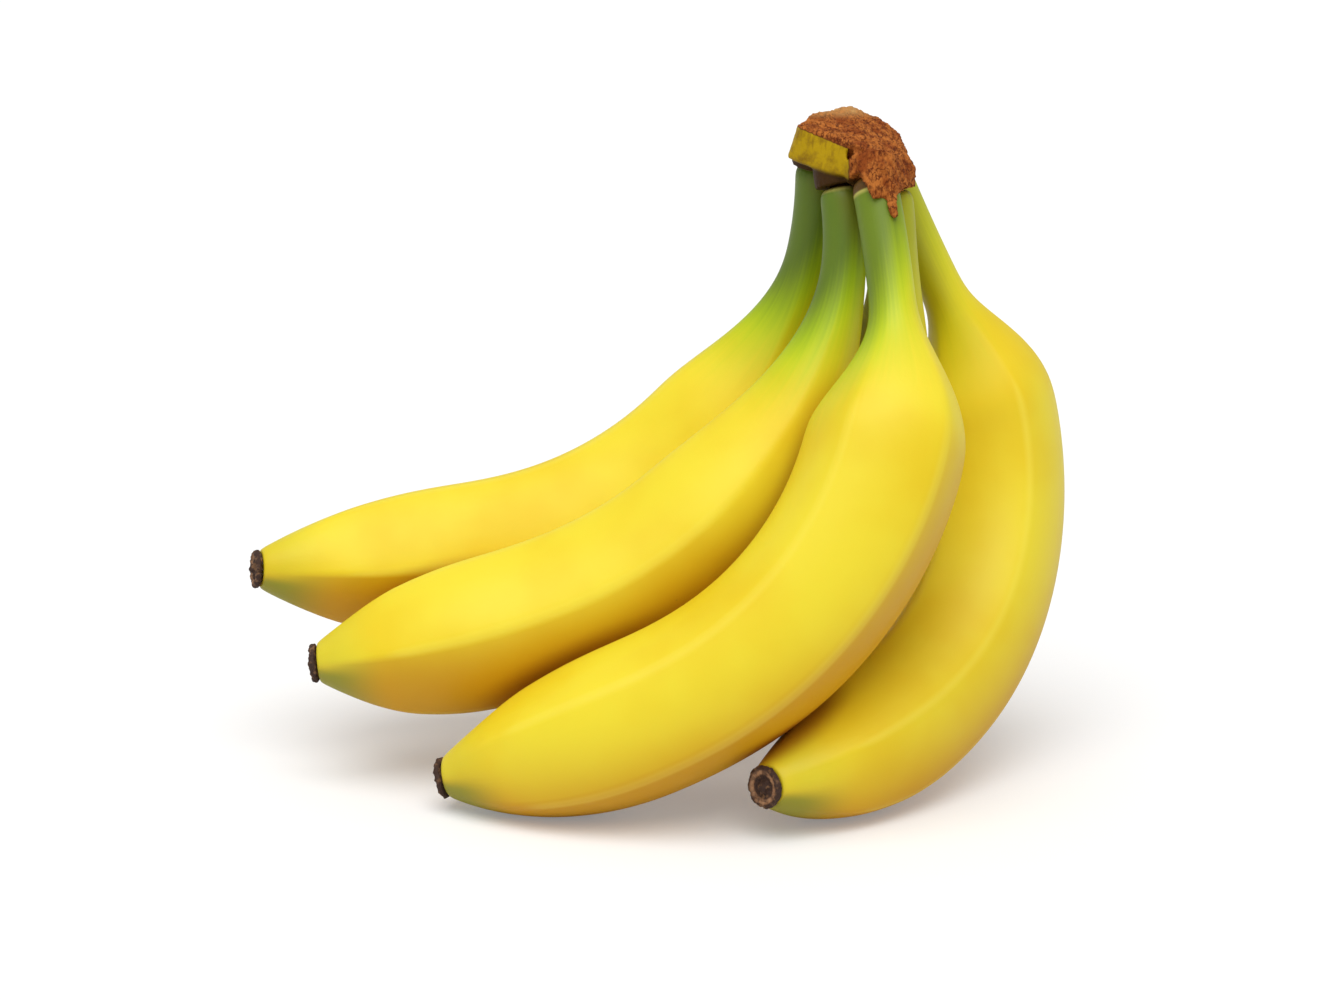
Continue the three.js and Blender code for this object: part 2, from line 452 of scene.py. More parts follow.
class NodeBench:
    """Adds and joins nodes in one node tree."""

    def __init__(self, tree: bpy.types.NodeTree) -> None:
        """Work in a tree."""
        self.tree = tree

    def add(self, kind: str, **settings: object) -> bpy.types.Node:
        """Add a node, and set its own settings.

        Args:
            kind: the node's type, without "ShaderNode".
            settings: the node's own settings.

        Returns:
            The node.
        """
        node = self.tree.nodes.new("ShaderNode" + kind)
        for name, value in settings.items():
            setattr(node, name, value)
        return node

    def feed(self, socket: bpy.types.NodeSocket, value: object) -> None:
        """Give a socket a constant, or join another node's output to it.

        Args:
            socket: the input.
            value: a number, a colour or an output.
        """
        if isinstance(value, bpy.types.NodeSocket):
            self.tree.links.new(value, socket)
        elif isinstance(value, tuple) and len(value) == 3 and socket.type == "RGBA":
            socket.default_value = (*value, 1.0)
        else:
            socket.default_value = value

    def maths(self, operation: str, *values: object) -> bpy.types.NodeSocket:
        """Do one sum.

        Args:
            operation: the sum's name.
            values: the numbers or outputs that go in.

        Returns:
            The answer.
        """
        node = self.add("Math", operation=operation)
        for socket, value in zip(node.inputs, values):
            self.feed(socket, value)
        return node.outputs[0]

    def ramp(
        self, value: object, low: float, high: float, start: float = 0.0, end: float = 1.0
    ) -> bpy.types.NodeSocket:
        """Change smoothly from one number to another as a value rises.

        Args:
            value: the value that rises.
            low: the value at which the change starts.
            high: the value at which it ends.
            start: the number before the change.
            end: the number after it.

        Returns:
            The changing number.
        """
        node = self.add("MapRange", interpolation_type="SMOOTHSTEP")
        for name, given in (
            ("Value", value),
            ("From Min", low),
            ("From Max", high),
            ("To Min", start),
            ("To Max", end),
        ):
            self.feed(node.inputs[name], given)
        return node.outputs["Result"]

    def mix(self, share: object, first: object, second: object) -> bpy.types.NodeSocket:
        """Blend two colours.

        Args:
            share: the second colour's share, from 0 to 1.
            first: a colour.
            second: another colour.

        Returns:
            The blend.
        """
        node = self.add("Mix", data_type="RGBA")
        self.feed(node.inputs[0], share)
        self.feed(node.inputs[6], first)
        self.feed(node.inputs[7], second)
        return node.outputs[2]

    def bump(
        self, shader: bpy.types.Node, height: object, strength: float, distance: float
    ) -> None:
        """Make a surface look finely uneven.

        Args:
            shader: the shader whose surface it is.
            height: the unevenness, from 0 to 1.
            strength: how strongly it shows, from 0 to 1.
            distance: how high it is, in metres.
        """
        node = self.add("Bump")
        node.inputs["Strength"].default_value = strength
        node.inputs["Distance"].default_value = distance
        self.feed(node.inputs["Height"], height)
        self.feed(shader.inputs["Normal"], node.outputs["Normal"])

    def attribute(self, name: str) -> bpy.types.NodeSocket:
        """Return a number stored on the mesh."""
        return self.add("Attribute", attribute_name=name).outputs["Fac"]

    def vector(self, x: object, y: object, z: object) -> bpy.types.NodeSocket:
        """Make a vector of three numbers.

        Args:
            x: the first number.
            y: the second.
            z: the third.

        Returns:
            The vector.
        """
        node = self.add("CombineXYZ")
        for socket, value in zip(node.inputs, (x, y, z)):
            self.feed(socket, value)
        return node.outputs[0]

    def stretched(
        self, place: bpy.types.NodeSocket, shares: tuple[float, float, float]
    ) -> bpy.types.NodeSocket:
        """Draw a pattern out along the axes whose shares are small.

        Args:
            place: where the pattern is read.
            shares: what each part of the place is multiplied by.

        Returns:
            The new place to read the pattern at.
        """
        node = self.add("VectorMath", operation="MULTIPLY")
        self.feed(node.inputs[0], place)
        node.inputs[1].default_value = shares
        return node.outputs[0]

    def noise(
        self, place: object, scale: float, detail: float, rough: float
    ) -> bpy.types.NodeSocket:
        """Make a cloudy pattern.

        Args:
            place: where the pattern is read.
            scale: how fine it is.
            detail: how many finer layers it has.
            rough: how strong the finer layers are.

        Returns:
            The pattern's height, from 0 to 1.
        """
        node = self.add("TexNoise")
        self.feed(node.inputs["Vector"], place)
        self.feed(node.inputs["Scale"], scale)
        self.feed(node.inputs["Detail"], detail)
        self.feed(node.inputs["Roughness"], rough)
        return node.outputs["Fac"]

    def group(self, tree: bpy.types.NodeTree, **values: object) -> bpy.types.Node:
        """Place a node group and feed its inputs.

        Args:
            tree: the group.
            values: a value for each of its inputs.

        Returns:
            The group's node.
        """
        node = self.add("Group")
        node.node_tree = tree
        for name, value in values.items():
            self.feed(node.inputs[name], value)
        return node


class EffectGroups:
    """Shared effects, each built once as a node group."""

    def __init__(self) -> None:
        """Build the groups."""
        self.freckles = self._freckles()

    @staticmethod
    def _new(name: str, inputs: dict[str, object], outputs: dict[str, str]) -> bpy.types.NodeTree:
        """Make an empty group with named sockets.

        Args:
            name: the group's name.
            inputs: each input's name and default; a default of None makes a vector.
            outputs: each output's name and socket type.

        Returns:
            The group, holding only its input and output nodes.
        """
        tree = bpy.data.node_groups.new(name, "ShaderNodeTree")
        for label, default in inputs.items():
            kind = "NodeSocketVector" if default is None else "NodeSocketFloat"
            socket = tree.interface.new_socket(label, in_out="INPUT", socket_type=kind)
            if default is not None:
                socket.default_value = default
        for label, kind in outputs.items():
            tree.interface.new_socket(label, in_out="OUTPUT", socket_type=kind)
        tree.nodes.new("NodeGroupInput")
        tree.nodes.new("NodeGroupOutput")
        return tree

    def _freckles(self) -> bpy.types.NodeTree:
        """Build sparse small round spots.

        Returns:
            The group. Share is how many of the places hold a spot, and Size is the largest spot's
            reach, both from 0 to 1.
        """
        tree = self._new(
            "freckles",
            {"Place": None, "Scale": 300.0, "Share": 0.3, "Size": 0.25},
            {"Mask": "NodeSocketFloat"},
        )
        bench = NodeBench(tree)
        given = tree.nodes["Group Input"].outputs
        cells = bench.add("TexVoronoi", feature="F1")
        bench.feed(cells.inputs["Vector"], given["Place"])
        bench.feed(cells.inputs["Scale"], given["Scale"])
        bench.feed(cells.inputs["Randomness"], 1.0)
        draw = bench.add("SeparateColor")
        bench.feed(draw.inputs[0], cells.outputs["Color"])
        chosen = bench.maths("LESS_THAN", draw.outputs[0], given["Share"])
        reach = bench.maths("MULTIPLY", given["Size"], bench.ramp(draw.outputs[1], 0, 1, 0.4, 1.0))
        inside = bench.maths("SUBTRACT", reach, cells.outputs["Distance"])
        edge = bench.ramp(inside, 0.0, 0.08)
        mask = bench.maths("MULTIPLY", edge, chosen)
        tree.links.new(mask, tree.nodes["Group Output"].inputs["Mask"])
        return tree


def new_material(name: str) -> tuple[bpy.types.Material, NodeBench, bpy.types.Node]:
    """Start a material.

    Args:
        name: its name.

    Returns:
        The material, a bench to work on its nodes, and its shader.
    """
    material = bpy.data.materials.new(name)
    material.use_nodes = True
    bench = NodeBench(material.node_tree)
    return material, bench, material.node_tree.nodes["Principled BSDF"]


@dataclass(frozen=True)
class BananaPeel:
    """Ripe satin peel: green stem, lime neck, yellow body and greenish tip, with painted shade on
    the underside, a painted highlight along the ridges and painted shade between the bananas.
    """

    yellow: Colour = from_screen(242, 221, 48)
    deep_yellow: Colour = from_screen(236, 204, 26)
    downward_shade: Colour = from_screen(210, 146, 4)
    ridge_highlight: Colour = from_screen(248, 230, 92)
    crevice_shade: Colour = from_screen(160, 84, 8)
    lime: Colour = from_screen(172, 204, 12)
    green: Colour = from_screen(98, 122, 32)
    tip_green: Colour = from_screen(122, 142, 44)
    withered: Colour = from_screen(92, 64, 20)
    rim: Colour = from_screen(196, 186, 96)
    freckle: Colour = from_screen(150, 104, 30)
    # Where the green and the lime start and stop fading, in millimetres down from the stem's top.
    green_fade: tuple[float, float] = (12, 38)
    lime_fade: tuple[float, float] = (25, 58)
    # How many millimetres further the ripening has come on the right and along the streaks.
    ripened_right: float = 13
    ripened_streaks: float = 9
    # The far end's green starts and stops growing this far from the tip.
    tip_fade: tuple[float, float] = (17, 3)

    def build(
        self, name: str, finger: Finger, groups: EffectGroups, greenness: float
    ) -> bpy.types.Material:
        """Build the peel of one banana.

        Args:
            name: the material's name.
            finger: the banana's shape, for where the stem and the tip are.
            groups: the shared effects.
            greenness: how green the stem is, from 0 to 1.

        Returns:
            The material.
        """
        material, bench, shader = new_material(name)
        along = bench.attribute("along")
        place = bench.add("TexCoord").outputs["Object"]
        patchy = bench.noise(place, 26, 3, 0.5)
        streaks = self._streaks(bench, along)
        skin = bench.mix(bench.ramp(patchy, 0.35, 0.7), self.yellow, self.deep_yellow)
        # Painted shade: faces that point down turn orange-brown.
        skin = bench.mix(bench.ramp(bench.attribute("facing_down_shade"), 0, 1, 0, 0.85), skin, self.downward_shade)
        # Painted highlight: a paler yellow along the ridges.
        skin = bench.mix(bench.ramp(bench.attribute("ridge_highlight"), 0.72, 1, 0, 0.35), skin, self.ridge_highlight)
        streaked = bench.maths("SUBTRACT", streaks, 0.5)
        streaked = bench.maths("MULTIPLY", streaked, self.ripened_streaks)
        turned = bench.maths("MULTIPLY", bench.attribute("rightward"), self.ripened_right)
        ripened = bench.maths("ADD", along, bench.maths("ADD", streaked, turned))
        lime = bench.ramp(ripened, *self.lime_fade, 0.95 * greenness, 0)
        skin = bench.mix(lime, skin, self.lime)
        skin = bench.mix(bench.ramp(ripened, *self.green_fade, greenness, 0), skin, self.green)
        skin = self._with_ends(bench, skin, along, finger)
        # Painted shade between the bananas where they nearly touch, weaker near the stem's top.
        gap_shade_weight = bench.ramp(bench.attribute("close"), 0.1, 1, 0, 0.8)
        gap_shade_weight = bench.maths("MULTIPLY", gap_shade_weight, bench.ramp(along, 30, 75, 0.2, 1))
        skin = bench.mix(gap_shade_weight, skin, self.crevice_shade)
        spots = bench.group(groups.freckles, Place=place, Scale=240.0, Share=0.02, Size=0.14)
        spotted = bench.maths("MULTIPLY", spots.outputs["Mask"], 0.4)
        bench.feed(shader.inputs["Base Color"], bench.mix(spotted, skin, self.freckle))
        bench.feed(shader.inputs["Roughness"], bench.ramp(patchy, 0.2, 0.8, 0.4, 0.52))
        shader.inputs["Specular IOR Level"].default_value = 0.3
        shader.inputs["Subsurface Weight"].default_value = 0.1
        shader.inputs["Subsurface Radius"].default_value = (1.0, 0.6, 0.08)
        shader.inputs["Subsurface Scale"].default_value = 0.002
        pores = bench.noise(place, 900, 2, 0.5)
        bench.bump(shader, bench.maths("ADD", pores, streaks), 0.06, 0.4 * MM)
        return material

    @staticmethod
    def _streaks(bench: NodeBench, along: bpy.types.NodeSocket) -> bpy.types.NodeSocket:
        """Draw fine streaks that run lengthwise.

        Args:
            bench: the bench that the nodes are added on.
            along: the distance from the stem's top.

        Returns:
            The streaks' height, from 0 to 1.
        """
        place = bench.vector(
            bench.maths("MULTIPLY", along, 0.004),
            bench.attribute("round_in"),
            bench.attribute("round_out"),
        )
        return bench.noise(place, 9, 3, 0.5)

    def _with_ends(
        self,
        bench: NodeBench,
        skin: bpy.types.NodeSocket,
        along: bpy.types.NodeSocket,
        finger: Finger,
    ) -> bpy.types.NodeSocket:
        """Add a greenish tip and a withered, pale-rimmed stem top.

        Args:
            bench: the bench that the nodes are added on.
            skin: the colour so far.
            along: the distance from the stem's top.
            finger: the banana's shape, for where its ends are.

        Returns:
            The new colour.
        """
        far, near = self.tip_fade
        tip = bench.ramp(along, finger.length - far, finger.length - near, 0, 0.75)
        # The tip's own green is stronger on faces that point down, which is partly painted shade.
        tip = bench.maths("MULTIPLY", tip, bench.ramp(bench.attribute("facing_down_shade"), 0.25, 0.8, 0.25, 1))
        skin = bench.mix(tip, skin, self.tip_green)
        edge = finger.rim
        skin = bench.mix(bench.ramp(along, edge, edge + 1, 0.8, 0), skin, self.rim)
        return bench.mix(bench.ramp(along, edge - 0.5, edge, 1, 0), skin, self.withered)


@dataclass(frozen=True)
class CrownFlesh:
    """The crown: green-yellow rind, a dry brown fibrous cut, and painted shade below the lobe."""

    rind: Colour = from_screen(184, 150, 12)
    rind_shade: Colour = from_screen(138, 104, 14)
    dry: Colour = from_screen(192, 114, 50)
    dry_shade: Colour = from_screen(142, 70, 26)
    dark: Colour = from_screen(84, 34, 14)
    pale: Colour = from_screen(212, 162, 98)
    hollow_shade: Colour = from_screen(66, 42, 16)

    def build(self) -> bpy.types.Material:
        """Build the crown's material.

        Returns:
            The material.
        """
        material, bench, shader = new_material("crown_flesh")
        place = bench.add("TexCoord").outputs["Object"]
        fibres = bench.noise(bench.stretched(place, (1.0, 0.4, 0.55)), 1500, 6, 0.75)
        patchy = bench.noise(place, 260, 5, 0.65)
        cut = bench.mix(bench.ramp(patchy, 0.36, 0.62), self.dry_shade, self.dry)
        cut = bench.mix(bench.ramp(fibres, 0.38, 0.54, 0.75, 0), cut, self.dark)
        cracks = bench.noise(bench.stretched(place, (1.0, 0.45, 0.6)), 330, 3, 0.55)
        cracks = bench.maths("ABSOLUTE", bench.maths("SUBTRACT", cracks, 0.5))
        cut = bench.mix(bench.ramp(cracks, 0.006, 0.024, 0.8, 0), cut, self.dark)
        faded = bench.ramp(patchy, 0.3, 0.6, 1, 0.4)
        faded = bench.maths("MULTIPLY", bench.attribute("top"), faded)
        cut = bench.mix(faded, cut, self.pale)
        lines = bench.noise(bench.stretched(place, (1.0, 1.0, 0.12)), 620, 3, 0.6)
        rind = bench.mix(bench.ramp(patchy, 0.42, 0.72), self.rind, self.rind_shade)
        rind = bench.mix(bench.ramp(lines, 0.54, 0.68, 0, 0.6), rind, self.rind_shade)
        ragged = bench.maths("MULTIPLY", bench.maths("SUBTRACT", fibres, 0.5), 0.7)
        ragged = bench.maths("ADD", bench.attribute("cut"), ragged)
        skin = bench.mix(bench.ramp(ragged, 0.4, 0.6), rind, cut)
        border = bench.ramp(ragged, 0.5, 0.8, 0.75, 0)
        border = bench.maths("MULTIPLY", bench.ramp(ragged, 0.2, 0.4), border)
        skin = bench.mix(border, skin, self.dark)
        # Painted shade: dark brown below the lobe, where shade falls.
        skin = bench.mix(bench.attribute("hollow_shade"), skin, self.hollow_shade)
        bench.feed(shader.inputs["Base Color"], skin)
        bench.feed(shader.inputs["Roughness"], bench.ramp(ragged, 0.3, 0.7, 0.5, 0.8))
        shader.inputs["Specular IOR Level"].default_value = 0.1
        bench.bump(shader, fibres, 0.5, 0.5 * MM)
        return material


@dataclass(frozen=True)
class DriedFlower:
    """The dry scar at a banana's tip."""

    dark: Colour = from_screen(58, 34, 22)
    tan: Colour = from_screen(128, 92, 60)
    ring: Colour = from_screen(164, 122, 88)

    def build(self) -> bpy.types.Material:
        """Build the scar's material.

        Returns:
            The material.
        """
        material, bench, shader = new_material("dried_flower")
        place = bench.add("TexCoord").outputs["Object"]
        grain = bench.noise(place, 700, 4, 0.6)
        reach = bench.attribute("reach")
        ring = bench.ramp(reach, 0.7, 0.82, 1, 0)
        ring = bench.maths("MULTIPLY", bench.ramp(reach, 0.5, 0.62), ring)
        ring = bench.maths("MULTIPLY", ring, bench.ramp(grain, 0.35, 0.6, 0.3, 1))
        husk = bench.mix(bench.ramp(grain, 0.5, 0.66, 0, 0.8), self.dark, self.tan)
        bench.feed(shader.inputs["Base Color"], bench.mix(ring, husk, self.ring))
        shader.inputs["Roughness"].default_value = 0.8
        bench.bump(shader, grain, 0.6, 0.4 * MM)
        return material


# --- Pieces --------------------------------------------------------------------------------------


@dataclass
class Banana:
    """One banana with its stem: a ringed tube, ridged and softened."""

    number: int
    finger: Finger
    greenness: float
    sides: int = 20
    ring_pitch: float = 5.0
    ridge_height: float = 1.5 * MM
    ridges: int = 5
    ridge_sharpness: float = 0.85
    # The share of its radius that the body gives back, for the ridges to stand on.
    give_back: float = 0.025
    # Two bananas this many millimetres apart count as touching, and as well clear, for the painted
    # shade between them.
    touching: float = -0.5
    clear: float = 8.0
    # How far a face points down where the painted shade on the underside starts, and where it is
    # full.
    underside: tuple[float, float] = (-0.4, 0.65)
    piece: bpy.types.Object = field(init=False)

    # The rings that close the tip: each one's reach over the last, and how far in it goes.
    TIP_RINGS = ((0.86, -0.2), (0.5, 0.35), (0.2, 0.1))

    def ring_distances(self) -> list[float]:
        """Space the section's rings, closer together at the far end.

        Returns:
            Each ring's distance down from the stem's top, in millimetres.
        """
        length = self.finger.length
        far_start = length - self.finger.taper / 2
        near = np.linspace(-self.finger.climb, far_start, round(far_start / self.ring_pitch) + 1)
        steps = round((length - far_start) / self.ring_pitch * 2) + 1
        far = np.linspace(far_start, length, steps)[1:]
        return [float(d) for d in (*near, *far)]

    def build(self) -> None:
        """Model the banana by extruding its section down the middle line."""
        distances = self.ring_distances()
        stations = self.finger.stations(distances)
        # A subdivision surface pulls a ring in, so the rings start a little larger.
        swell = 3 / (2 + math.cos(2 * math.pi / self.sides))
        radii = [self.finger.radius_at(d) * MM * swell * (1 - self._slimming(d)) for d in distances]
        name = f"banana_{self.number}_peel"
        self.piece = start_ring(name, self.sides, radii[0], stations[0].at, stations[0].turn)
        for before, after, old, new in zip(stations, stations[1:], radii, radii[1:]):
            self._extrude_ring(before, after, new / old)
        self._close_tip(stations[-1])
        finish_tube()
        subdivide_smoothly(self.piece, 2)
        self._raise_ridges()
        self._mark()
        show_smooth(self.piece)

    @staticmethod
    def _extrude_ring(before: Station, after: Station, scale: float) -> None:
        """Extrude the selected end of the tube to the next station.

        Args:
            before: the station that the selected end stands at.
            after: the station that it goes to.
            scale: the new radius over the old one.
        """
        bpy.ops.mesh.extrude_region_move(TRANSFORM_OT_translate={"value": after.at - before.at})
        turn = (after.turn @ before.turn.transposed()).to_euler("XYZ")
        for axis, angle in zip("XYZ", turn):
            # With no window, the rotate operator turns the other way.
            bpy.ops.transform.rotate(value=-angle, orient_axis=axis, center_override=after.at)
        bpy.ops.transform.resize(value=(scale,) * 3, center_override=after.at)

    def _close_tip(self, last: Station) -> None:
        """Round the tip's edge and sink its end face a little.

        Args:
            last: the station at the tip.
        """
        for reach, sink in self.TIP_RINGS:
            bpy.ops.mesh.inset(thickness=0.0, depth=0.0)
            bpy.ops.transform.resize(value=(reach,) * 3, center_override=last.at)
            bpy.ops.transform.translate(value=-last.along * sink * MM)

    def _fade(self, distance: np.ndarray) -> np.ndarray:
        """Fade the ridges out on the stem and at the tip.

        Args:
            distance: how far down from the stem's top, in millimetres.

        Returns:
            How strong the ridges are there, from 0 to 1.
        """
        length, taper = self.finger.length, self.finger.taper
        near = ease(distance, self.finger.neck[0], self.finger.neck[1])
        return near * (1 - ease(distance, length - taper / 2, length))

    def _slimming(self, distance: float) -> float:
        """Return the share of the radius that the ridges give back, at a distance along."""
        return self.give_back * float(self._fade(np.array(distance)))

    def _ridge_shape(self, around: np.ndarray) -> np.ndarray:
        """Shape the ridges round the section.

        Args:
            around: the angle round the section, in radians.

        Returns:
            The height there: 1 on a ridge and 0 in the middle of a flat.
        """
        spacing = 2 * math.pi / self.ridges
        from_ridge = (around - math.radians(self.finger.ridge)) % spacing
        from_flat = np.abs(from_ridge - spacing / 2)
        sharp = (1 / np.cos(from_flat) - 1) / (1 / math.cos(spacing / 2) - 1)
        soft = 0.5 - 0.5 * np.cos(self.ridges * from_flat)
        return self.ridge_sharpness * sharp + (1 - self.ridge_sharpness) * soft

    def _raise_ridges(self) -> None:
        """Raise the long ridges, which fade out on the stem and at the tip."""
        distance, around = self.finger.locate(vertex_values(self.piece, "co"))
        weights = self._ridge_shape(around) * self._fade(distance)
        push_out(self.piece, "ridges", weights, self.ridge_height)

    def _closeness(self, places: np.ndarray) -> np.ndarray:
        """Work out the painted shade between bananas, from how near each point is to another banana.

        Args:
            places: one point in each row, in metres.

        Returns:
            1 where they touch, 0 where they are well clear, and between those a smooth change.
        """
        gap = np.full(len(places), np.inf)
        for other in FINGERS:
            if other == self.finger:
                continue
            distances = [float(d) for d in np.arange(0, other.length + 1, 2.0)]
            line = np.array([station.at for station in other.stations(distances)]) / MM
            radii = np.array([other.radius_at(distance) for distance in distances])
            away = np.linalg.norm(places[:, None] / MM - line[None], axis=2) - radii
            gap = np.minimum(gap, away.min(1))
        return 1 - ease(gap, self.touching, self.clear)

    def _mark(self) -> None:
        """Store where each vertex lies on the banana, and the masks of its painted shade and painted
        highlight, for its material.
        """
        places = vertex_values(self.piece, "co")
        distance, around = self.finger.locate(places)
        normals = vertex_values(self.piece, "normal")
        add_attribute(self.piece, "along", distance)
        # A mask for the painted highlight along the ridges.
        add_attribute(self.piece, "ridge_highlight", self._ridge_shape(around) * self._fade(distance))
        add_attribute(self.piece, "round_in", np.cos(around))
        add_attribute(self.piece, "round_out", np.sin(around))
        # A mask for the painted shade between the bananas.
        add_attribute(self.piece, "close", self._closeness(places))
        # A mask for the painted shade on faces that point down.
        add_attribute(self.piece, "facing_down_shade", ease(-normals[:, 2], *self.underside))
        add_attribute(self.piece, "rightward", normals[:, 0])

    def dress(self, peel: BananaPeel, groups: EffectGroups) -> None:
        """Give the banana its peel.

        Args:
            peel: the finish.
            groups: the shared effects.
        """
        name = f"peel_{self.number}"
        material = peel.build(name, self.finger, groups, self.greenness)
        self.piece.data.materials.append(material)

    def join_bunch(self) -> None:
        """Hang the piece on the bunch's body and hide the imported part that it replaces."""
        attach(self.piece, BODY)
        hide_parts(f"banana_{self.number}")


@dataclass
class BlossomEnd:
    """The dried flower remnant at a banana's tip: a ringed disc with a short point."""

    number: int
    finger: Finger
    sides: int = 32
    crumb_size: float = 1.1 * MM
    crumb_height: float = 0.9 * MM
    piece: bpy.types.Object = field(init=False)

    # Each ring's rise off the banana's end in millimetres, and its reach over the tip's radius.
    RINGS = (
        (0.2, 0.9),
        (0.9, 0.97),
        (1.5, 0.95),
        (1.9, 0.88),
        (2.0, 0.78),
        (1.4, 0.68),
        (1.7, 0.54),
        (1.2, 0.42),
        (1.3, 0.3),
        (2.2, 0.22),
        (2.7, 0.1),
    )

    def build(self) -> None:
        """Model the disc by extruding rings up from its base."""
        end = self.finger.stations([self.finger.length])[0]
        tip = self.finger.radius[2] * MM
        rise, reach = self.RINGS[0]
        name = f"blossom_end_{self.number}_scar"
        base = end.at + end.along * rise * MM
        self.piece = start_ring(name, self.sides, tip * reach, base, end.turn)
        for (low, wide), (high, narrow) in zip(self.RINGS, self.RINGS[1:]):
            shift = end.along * (high - low) * MM
            bpy.ops.mesh.extrude_region_move(TRANSFORM_OT_translate={"value": shift})
            centre = end.at + end.along * high * MM
            bpy.ops.transform.resize(value=(narrow / wide,) * 3, center_override=centre)
        finish_tube()
        subdivide_smoothly(self.piece, 2)
        roughen(self.piece, f"scar_{self.number}", self.crumb_size, self.crumb_height, 0.5)
        places = vertex_values(self.piece, "co")
        away = places - np.array(end.at)
        away = away - np.outer(away @ np.array(end.along), np.array(end.along))
        add_attribute(self.piece, "reach", np.linalg.norm(away, axis=1) / tip)
        show_smooth(self.piece)

    def dress(self, material: bpy.types.Material) -> None:
        """Give the scar its material."""
        self.piece.data.materials.append(material)

    def join_bunch(self) -> None:
        """Hang the piece on the bunch's body and hide the imported part that it replaces."""
        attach(self.piece, BODY)
        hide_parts(f"blossom_end_{self.number}")


@dataclass(frozen=True)
class CrownShape:
    """The crown's corners, in millimetres in the bunch's own frame, before it leans.

    The chunk is the cut stalk, high at the back and sloping down to the front right. The lobe is the
    rind-covered cushion on its front left side. The flap is torn stalk that hangs over the two
    right-hand stems, and the drip is the dried drop at its lower edge.
    """

    chunk: tuple[tuple[float, float, float], ...] = (
        (30.6, 33, 149.2),
        (33, 46, 150.3),
        (42.8, 55, 151.3),
        (49.4, 55.5, 148.5),
        (54, 50, 145.4),
        (55.6, 42, 141.8),
        (53, 27, 142.6),
        (45, 18.8, 145.4),
        (40, 24.8, 145.9),
        (29.7, 45.9, 139.5),
        (54.5, 50.5, 134.6),
        (43.3, 57, 134),
        (32.4, 37.7, 139.5),
        (41.5, 29, 137.7),
        (54.4, 35, 136.4),
        (43, 42, 129.5),
    )
    lobe: tuple[tuple[float, float, float], ...] = (
        (27.4, 34.1, 141.6),
        (29.9, 37, 148.9),
        (30.1, 30.8, 140.6),
        (30.4, 32.8, 149.3),
        (34.6, 26.2, 139.6),
        (35.1, 28.6, 147.4),
        (40.4, 22, 138.8),
        (40.5, 23.5, 145.6),
        (31.5, 46.1, 148.7),
        (41.1, 39, 145),
        (40.7, 35.3, 138.2),
        (29.1, 48.4, 141),
    )
    flap: tuple[tuple[float, float, float], ...] = (
        (41.8, 25, 146.8),
        (52.5, 39, 145.5),
        (41.2, 20.4, 143.6),
        (54.8, 32, 142.6),
        (56.9, 31, 139.2),
        (56.2, 29.2, 137.8),
        (54.2, 24.4, 136.4),
        (51.4, 15.2, 135.4),
        (45.8, 13.2, 134.9),
        (43.9, 15, 139.6),
        (48.6, 15.8, 142.4),
        (47, 22, 134.6),
        (53, 31, 136.2),
        (50, 35, 139),
    )
    drip: tuple[tuple[float, float, float], ...] = (
        (49.6, 16.4, 137),
        (50.1, 13.9, 134),
        (50.4, 12.6, 131.8),
    )
    drip_radii: tuple[float, float, float] = (1.9, 1.25, 1.05)
    # Each collar's start and end along its stem, and how far it stands out from the stem.
    collar: tuple[float, float, float] = (-4.0, 0.3, 0.8)
    # The rind's upper edge: its height at the lobe's left end, and its fall to the right and back.
    rind_edge: tuple[float, float, float] = (148.6, 0.34, 0.02)
    # The painted shade below the lobe: its upper edge at the left end, and its fall to the right.
    hollow_shade_edge: tuple[float, float] = (141.4, 0.2)
    left_end: tuple[float, float] = (30, 33)
    # Where along X the rind gives way to the cut and the painted shade below the lobe ends, and
    # where the back's cut is.
    rind_end: tuple[float, float] = (40.2, 41.4)
    hollow_shade_end: tuple[float, float] = (43, 46)
    back_cut: tuple[float, float] = (44, 50)
    # The heights where the top starts to be pale and is palest, over Y 0, and its fall to the back.
    pale_top: tuple[float, float, float] = (154.2, 156.6, 0.12)


